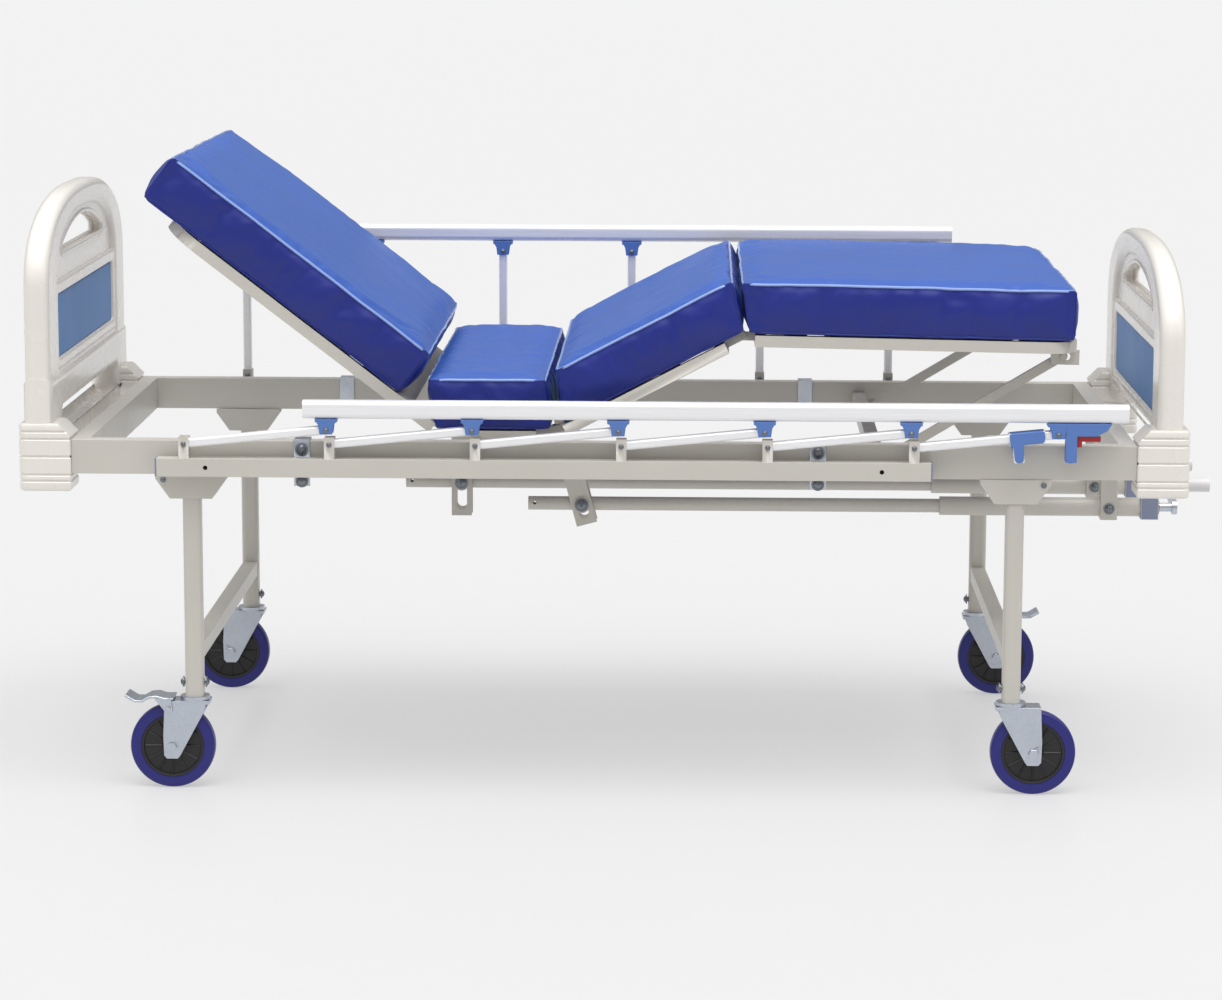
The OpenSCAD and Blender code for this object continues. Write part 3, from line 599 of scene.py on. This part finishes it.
def make_wheel(name, end, side):
    centre = (end * WHEEL_X, side * WHEEL_Y, WHEEL_R)
    node = f"{name}_wheel"

    def to_row(u, v, along):
        return bed(centre[0] + u, centre[1] + along, centre[2] + v)

    tyre = bmesh.new()
    profile = [(56.5, -14.0), (70.0, -14.2), (73.0, -13.2), (74.4, -10.5), (75.0, -6.0),
               (75.0, 6.0), (74.4, 10.5), (73.0, 13.2), (70.0, 14.2), (56.5, 14.0),
               (55.5, 12.5), (55.0, 8.0), (55.0, -8.0), (55.5, -12.5)]
    lathe(tyre, profile, to_row, 96)
    make_object(node + "_tyre", tyre, materials["wheel_tyre"], node, "wheel_tyre", (node,), sharp=50.0)
    hub = bmesh.new()
    half = [(56.4, 13.0), (53.5, 13.6), (51.0, 12.6), (50.0, 9.4), (47.0, 8.6), (24.0, 7.6), (19.5, 8.4),
            (17.5, 12.0), (16.0, 17.2), (14.0, 18.0), (5.1, 18.0)]
    profile = half + [(r, -along) for r, along in reversed(half)]
    lathe(hub, profile, to_row, 72)
    for k in range(SPOKES):
        angle = 2 * math.pi * k / SPOKES
        for face in (-1, 1):
            path = [to_row(math.cos(angle) * r, math.sin(angle) * r, face * (8.4 + 0.6 * (r - 20) / 30))
                    for r in np.linspace(17, 49.5, 6)]
            sweep(hub, path, 1.7 * MM, sides=6)
    make_object(node + "_hub", hub, hub_black, node, None, sharp=30.0)
    cap = bmesh.new()
    for face in (-1, 1):
        ring = [(13.6, face * 18.0), (13.2, face * 18.5), (5.4, face * 18.5), (5.4, face * 16.0),
                (13.6, face * 16.0)]
        lathe(cap, ring, to_row, 40)
    make_object(node + "_bearing", cap, materials["zinc"], node, "zinc")


# ---------------------------------------------------------------- mattress

PAD_W = 398.0  # half the width
PAD_LOW = 10.4
PAD_TOP = 107.0
PAD_SHRINK = 5.0  # how much smaller the cover starts, because it swells
PAD_SWELL = 9.0
PAD_END_SWELL = 3.0
SEAM_W = 11.0
VOXEL, QUICK_VOXEL = 0.0085, 0.014
SEAMS = [(0, 1), (1, 2), (2, 3), (3, 0), (4, 5), (5, 6), (6, 7), (7, 4), (0, 4), (1, 5), (2, 6), (3, 7)]


def local_frame(x, z, angle):
    """The row matrix of a deck section: its hinge and the turn about the bed's width."""
    return Matrix.Translation(bed(x, 0, z)) @ Matrix.Rotation(math.radians(angle), 4, "Y")


def pad_corners(bottom, top):
    """The cover's eight corners before it swells, in metres, in the section's own frame: near side first."""
    shrink = PAD_SHRINK
    z0, z1 = PAD_LOW + 1.0, PAD_TOP - shrink
    ends = [(bottom[0] + shrink, z0), (bottom[1] - shrink, z0), (top[1] - shrink, z1), (top[0] + shrink, z1)]
    return [Vector((x, y, z)) * MM for y in (-PAD_W + shrink, PAD_W - shrink) for x, z in ends]


def simulate(obj, frames=20):
    """Blows the cover up a little, with more cloth than the box needs, and returns where its vertices end."""
    mod = obj.modifiers.new("cloth", "CLOTH")
    s = mod.settings
    s.quality = 4
    s.mass = 0.25
    s.tension_stiffness = s.compression_stiffness = 18.0
    s.shear_stiffness = 6.0
    s.bending_stiffness = 0.35
    s.use_pressure = True
    s.uniform_pressure_force = 3.0
    s.shrink_min = -0.022
    s.effector_weights.gravity = 0.0
    s.vertex_group_mass = "seam"
    s.pin_stiffness = 1.0
    mod.collision_settings.use_collision = False
    for f in range(1, frames + 1):
        scene.frame_set(f)
    seen = obj.evaluated_get(bpy.context.evaluated_depsgraph_get())
    co = np.array([v.co for v in seen.data.vertices])
    obj.modifiers.remove(mod)
    scene.frame_set(1)
    return co


def make_pad(name, bottom, top, frame_matrix, body, seed):
    """One covered pad, from its two ends at the bottom and at the top. Returns the cover, piping and hem."""
    corners = pad_corners(bottom, top)
    bm = bmesh.new()
    verts = [bm.verts.new(c) for c in corners]
    for face in ((0, 1, 2, 3), (7, 6, 5, 4), (0, 4, 5, 1), (1, 5, 6, 2), (2, 6, 7, 3), (3, 7, 4, 0)):
        bm.faces.new([verts[i] for i in face])
    bmesh.ops.recalc_face_normals(bm, faces=bm.faces)
    mesh = bpy.data.meshes.new(name)
    bm.to_mesh(mesh)
    bm.free()
    pad = bpy.data.objects.new(name, mesh)
    scene.collection.objects.link(pad)
    remesh = pad.modifiers.new("remesh", "REMESH")
    remesh.mode = "VOXEL"
    remesh.voxel_size = VOXEL
    apply_modifiers(pad)
    mesh = pad.data
    rest = np.array([v.co for v in mesh.vertices])

    def edge_gap(points, pair):
        a, b = np.array(corners[pair[0]]), np.array(corners[pair[1]])
        t = np.clip(((points - a) @ (b - a)) / ((b - a) @ (b - a)), 0, 1)
        return np.linalg.norm(points - a - t[:, None] * (b - a), axis=1)

    gap = np.min([edge_gap(rest, e) for e in SEAMS], axis=0)
    seam = pad.vertex_groups.new(name="seam")
    for i in np.nonzero(gap < SEAM_W * MM)[0]:
        seam.add([int(i)], 0.8, "REPLACE")
    moved = simulate(pad)
    step = moved - rest
    size = np.linalg.norm(step, axis=1)
    step *= np.minimum(1.0, PAD_SWELL * MM / np.maximum(size, 1e-9))[:, None]
    final = rest + step
    final[:, 2] = np.maximum(final[:, 2], PAD_LOW * MM)
    levels = (PAD_LOW * MM, PAD_TOP * MM)
    x_low = np.interp(final[:, 2], levels, (bottom[0] * MM, top[0] * MM)) - PAD_END_SWELL * MM
    x_high = np.interp(final[:, 2], levels, (bottom[1] * MM, top[1] * MM)) + PAD_END_SWELL * MM
    final[:, 0] = np.clip(final[:, 0], x_low, x_high)
    mesh.vertices.foreach_set("co", final.ravel().astype(np.float32))
    pad.vertex_groups.clear()
    sub = pad.modifiers.new("sub", "SUBSURF")
    sub.levels = sub.render_levels = 1
    apply_modifiers(pad)
    mesh = pad.data
    crease(mesh, edge_gap, seed)
    mesh.materials.clear()
    mesh.materials.append(materials["mattress_vinyl"])
    mesh.shade_smooth()
    beads = piping(name, mesh, corners, frame_matrix, body)
    pad.matrix_world = frame_matrix
    bpy.context.view_layer.update()
    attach(pad, body)
    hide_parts(name.replace("_cover", "_mattress"))
    return [pad] + beads


def crease(mesh, edge_gap, seed):
    """Pulls the cloth in beside its seams and lays soft creases that run out from them."""
    co = np.array([v.co for v in mesh.vertices])
    normals = np.array([v.normal for v in mesh.vertices])
    gap = np.min([edge_gap(co, e) for e in SEAMS], axis=0)
    gather = np.exp(-(gap / 0.030) ** 2)
    side = np.abs(normals[:, 1]) > 0.7
    ends = np.abs(normals[:, 0]) > 0.6
    depth = np.zeros(len(co))
    for i, p in enumerate(co):
        along = p[0] if side[i] else p[1]
        soft = field.noise(Vector((along * 34 + seed, p[2] * 9, seed)))
        broad = field.noise(Vector((along * 11 + seed * 2, p[2] * 14, 3.0 + seed)))
        if side[i] or ends[i]:
            depth[i] = 0.0016 * soft * (0.3 + gather[i]) + 0.0024 * broad
        else:
            wave = field.noise(Vector((p[0] * 6 + seed, p[1] * 5, 1.0)))
            depth[i] = 0.0009 * wave + 0.0004 * soft * gather[i]
    co += normals * (depth - 0.0012 * np.exp(-((gap - 0.006) / 0.006) ** 2))[:, None]
    co[:, 2] = np.maximum(co[:, 2], 10.3 * MM)
    mesh.vertices.foreach_set("co", co.ravel().astype(np.float32))
    mesh.update()


def piping(name, mesh, corners, frame_matrix, body):
    """The bead sewn round the top of a pad, coloured pale as a painted highlight, and the hem round its
    bottom and up its four corners.
    """
    tree = BVHTree.FromPolygons([v.co for v in mesh.vertices], [p.vertices for p in mesh.polygons])
    middle = sum(corners, Vector()) / 8

    def settle(point, out):
        hit = tree.ray_cast(point + out * 0.04, -out)[0]
        return (hit if hit is not None else point) + out * 0.0004

    def outward(point, axes):
        signs = [math.copysign(1.0, point[i] - middle[i]) if i in axes else 0.0 for i in range(3)]
        return Vector(signs).normalized()

    made = []
    for ring, size, material, tag in (((3, 2, 6, 7), 2.3, piping_highlight_blue, "_piping"),
                                      ((0, 1, 5, 4), 2.0, materials["mattress_vinyl"], "_hem")):
        bm = bmesh.new()
        path = []
        for k in range(4):
            a, b = corners[ring[k]], corners[ring[(k + 1) % 4]]
            axes = (1, 2) if abs(b.x - a.x) > abs(b.y - a.y) else (0, 2)
            count = max(4, int((b - a).length / 0.012))
            spots = [a.lerp(b, t) for t in np.linspace(0.015, 0.985, count)]
            path += [settle(spot, outward(spot, axes)) for spot in spots]
        for _ in range(2):
            path = [(path[i - 1] + path[i] * 2 + path[(i + 1) % len(path)]) / 4 for i in range(len(path))]
        sweep(bm, [frame_matrix @ p for p in path], size * MM, closed=True)
        uprights = ((0, 3), (1, 2), (5, 6), (4, 7)) if tag == "_hem" else ()
        for a, b in uprights:
            spots = [corners[a].lerp(corners[b], t) for t in np.linspace(0.04, 0.96, 10)]
            path = [settle(spot, outward(spot, (0, 1))) for spot in spots]
            sweep(bm, [frame_matrix @ p for p in path], 1.5 * MM)
        made.append(make_object(name + tag, bm, material, body, "mattress_vinyl"))
    return made


# ---------------------------------------------------------------- bolts, catches and crank bearings

GUARD_Y, GUARD_Z = 460, 621.5
UPRIGHT_X, UPRIGHT_STEP, UPRIGHT_LEN = -725.5, 253, 249
CRANK_Y, CRANK_Z = 124, 465


def facing(point, normal):
    """A mapping for lathe: the axis stands on a row point and runs along normal."""
    normal = Vector(normal).normalized()
    side = normal.orthogonal().normalized()
    other = normal.cross(side)
    return lambda u, v, along: point + (side * u + other * v + normal * along) * MM


def bolts(name, spots, radius, body):
    """Round bolt heads on washers; spots are (row point, direction) pairs."""
    bm = bmesh.new()
    for point, normal in spots:
        to_row = facing(point, normal)
        ring = radius * 1.3
        profile = [(ring, -0.4), (ring, 0.7), (ring - 0.5, 1.1), (radius, 1.1)]
        profile += [(radius * math.cos(a), 1.4 + radius * 0.62 * math.sin(a))
                    for a in (math.pi / 2 * k / 6 for k in range(6))]
        profile += [(radius * 0.22, 1.4 + radius * 0.61), (radius * 0.2, 1.0 + radius * 0.3),
                    (0.05, 1.0 + radius * 0.3), (0.05, -0.4)]
        lathe(bm, profile, to_row, 28)
    make_object(name, bm, materials["bolt_steel"], body, "bolt_steel", sharp=45.0)


def make_catch(side, angle):
    """The blue catch at the foot end upright, with a down-turned leg, in the upright's own frame."""
    y = -GUARD_Y if side == "near" else GUARD_Y
    frame_matrix = local_frame(UPRIGHT_X + 5 * UPRIGHT_STEP, GUARD_Z, angle)
    outline = [(164, -11.8), (164, 10.3), (226, 10.3), (226.3, -4), (224, -11.8), (189, -11.8), (187.5, -15),
               (187, -38), (184, -42.3), (173, -42.3), (169.5, -38), (168.6, -14)]
    outline = round_corners(outline[::-1], 4.0)

    def to_row(u, v, depth):
        return frame_matrix @ Vector((u * MM, (y + 12.9 - depth) * MM, v * MM))

    bm = bmesh.new()
    plate(bm, [outline], rounding(25.8, 2.0, 3, ease=0.6), to_row)
    make_object(side + "_catch_cover", bm, materials["fitting_blue"], side + "_upright_6", "fitting_blue")


def make_bearing_blocks():
    """The grey bearing at the foot end of each crank sleeve, with a dark collar on the shaft."""
    bm = bmesh.new()
    collar = bmesh.new()
    for y in (-CRANK_Y, CRANK_Y):
        rounded_block(bm, bed(971, y - 20.5, CRANK_Z - 20.5), bed(1003.4, y + 20.5, CRANK_Z + 20.5), 3.0 * MM)
        to_row = facing(bed(1003.0, y, CRANK_Z), (1, 0, 0))
        lathe(collar, [(7.1, -1.0), (15, -1.0), (15, 1.6), (14, 2.4), (7.1, 2.4)], to_row, 40)
    make_object("crank_bearing_covers", bm, materials["cap_grey"], "root", "cap_grey")
    make_object("crank_collars", collar, materials["bolt_steel"], "root", "bolt_steel")


# ---------------------------------------------------------------- everything together

add_camera()
add_world()
add_sun("key_sun", (-0.10, 0.22, -1.0), 1.5, 40)
add_floor()

IVORY = (0.575, 0.55, 0.50)
CREAM = (0.80, 0.765, 0.71)
# painted light: one blue nylon, its border colour painted shade and its top colour painted light and sheen
NYLON_SHADED_SIDES = (0.004, 0.014, 0.200)
NYLON_LIT_TOP = (0.018, 0.082, 0.38)
materials = {
    "frame_paint": powder_coat("ivory_powder_coat", IVORY),
    "board_plastic": moulded("cream_abs", CREAM, 0.27, 0.4),
    "board_panel_blue": moulded("blue_panel", (0.06, 0.215, 0.53), 0.5, 0.0),
    "mattress_vinyl": vinyl("blue_coated_nylon", NYLON_SHADED_SIDES, NYLON_LIT_TOP),
    "guard_aluminium": brushed("anodised_aluminium", (0.9, 0.9, 0.915), 0.36, 0.3, (1, 120, 120)),
    "fitting_blue": moulded("blue_nylon", (0.09, 0.19, 0.50), 0.4, 0.05),
    "trigger_red": moulded("red_nylon", (0.42, 0.012, 0.016), 0.35, 0.1),
    "cap_grey": moulded("grey_plug", (0.22, 0.25, 0.36), 0.42, 0.0),
    "zinc": zinc("bright_zinc", (0.55, 0.59, 0.66)),
    "bolt_steel": zinc("dull_zinc", (0.22, 0.235, 0.26), 0.36),
    "grip_plastic": moulded("pale_grip", (0.72, 0.70, 0.70), 0.4, 0.0),
    "wheel_tyre": moulded("blue_polyurethane", (0.010, 0.010, 0.17), 0.38, 0.05),
}
hub_black = moulded("black_hub_plastic", (0.014, 0.012, 0.013), 0.42, 0.0)
# painted highlight: the piping is coloured much paler than the nylon, standing in for light glancing off its
# bead
piping_highlight_blue = moulded("pale_piping", (0.26, 0.38, 0.74), 0.3, 0.5)
slot_of = {part["node"]: part["material_slot"] for part in frame["record"]["subparts"]}
for name, node in nodes.items():
    node.data.materials.clear()
    node.data.materials.append(materials[slot_of[name]])

make_board("head_board", -1, 1041, 661, True)
make_board("foot_board", 1, 955, 640, False)
make_bumpers()
CORNERS = (("near_head", -1, -1), ("near_foot", 1, -1), ("far_head", -1, 1), ("far_foot", 1, 1))
for corner, end, side in CORNERS:
    make_wheel(corner, end, side)

HINGE_Z = 626
BACK_HINGE_X, THIGH_HINGE_X = -280, -88
BACK_ANGLE, THIGH_ANGLE, LEG_ANGLE = 37.5, -27.5, 1
THIGH_LEN = 370
KNEE_X = THIGH_HINGE_X + THIGH_LEN * math.cos(math.radians(THIGH_ANGLE))
KNEE_Z = HINGE_Z - THIGH_LEN * math.sin(math.radians(THIGH_ANGLE))
SEAT_FRAME = local_frame(0, HINGE_Z, 0)
BACK_FRAME = local_frame(BACK_HINGE_X, HINGE_Z, BACK_ANGLE)
THIGH_FRAME = local_frame(THIGH_HINGE_X, HINGE_Z, THIGH_ANGLE)
LEG_FRAME = local_frame(KNEE_X, KNEE_Z, LEG_ANGLE)
# name, body, frame, ends at the bottom, ends at the top, and the squash: joint, anchor and share kept
PADS = (
    ("seat_cover", "root", SEAT_FRAME, (-300, -86), (-314, -93), "backrest_hinge", -86, 0.84),
    ("backrest_cover", "backrest_pad", BACK_FRAME, (-676, -99), (-676, -99), "backrest_hinge", -676, 0.97),
    ("thigh_cover", "thigh_section", THIGH_FRAME, (20, 388), (54, 412), "thigh_hinge", 230, 0.8),
    ("leg_cover", "leg_section", LEG_FRAME, (7, 586), (-8, 586), "thigh_hinge", 586, 0.97),
)
for name, body, at, bottom, top, joint, anchor, keep in PADS:
    along, fixed = at.to_3x3() @ Vector((1, 0, 0)), at @ Vector((anchor * MM, 0, 0))
    for piece in make_pad(name, bottom, top, at, body, seed=float(len(name))):
        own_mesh(piece)
        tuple(along)
        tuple(fixed)

for node in ("side_rails", "end_tubes", "base_bars"):
    soften(node, 0.004, segments=3)
for node in ("cross_members", "seat_deck", "backrest_frame", "thigh_frame", "leg_frame", "swing_bars"):
    soften(node, 0.0016)
for node in ("leg_bracing", "rail_clamps", "crank_brackets", "base_bar_caps"):
    soften(node, 0.0010)
for node in [f"{side}_{end}_fork" for side in ("near", "far") for end in ("head", "foot")]:
    soften(node, 0.0010, long_edge=0.012)
for side in ("near", "far"):
    soften(side + "_rail_fittings", 0.0, small=0.0007)
    soften(side + "_trigger", 0.0012, long_edge=0.008)
    soften(side + "_upright_6", 0.0010, long_edge=0.008)
soften("near_head_brake", 0.0012, long_edge=0.01)
soften("far_foot_brake", 0.0012, long_edge=0.01)
soften("back_crank", 0.0015, long_edge=0.02)
soften("knee_crank", 0.0015, long_edge=0.02)

for side, y, swing in (("near", -1, -5.8), ("far", 1, -90.0)):
    make_catch(side, swing)
    top_frame = Matrix.Rotation(math.radians(swing), 4, "Y")
    lower = [bed(UPRIGHT_X + UPRIGHT_STEP * i, GUARD_Y * y, GUARD_Z) for i in range(6)]
    reach = top_frame @ Vector((UPRIGHT_LEN * MM, 0, 0))
    out = Vector((0, 12.6 * MM * y, 0))
    spots = [(p + out * s, (0, y * s, 0)) for p in lower for s in (-1, 1)]
    bolts(side + "_lower_pivot_bolts", spots, 3.6, "root")
    bolts(side + "_upper_pivot_bolts", [(p + reach, way) for p, way in spots], 3.6, side + "_top_rail")
for drive, x, y in (("back_drive", BACK_HINGE_X, CRANK_Y), ("knee_drive", -45, -CRANK_Y)):
    bolts(drive + "_lever_bolts", [(bed(x, y + 21 * s, CRANK_Z), (0, s, 0)) for s in (-1, 1)], 10.0, drive)
make_bearing_blocks()
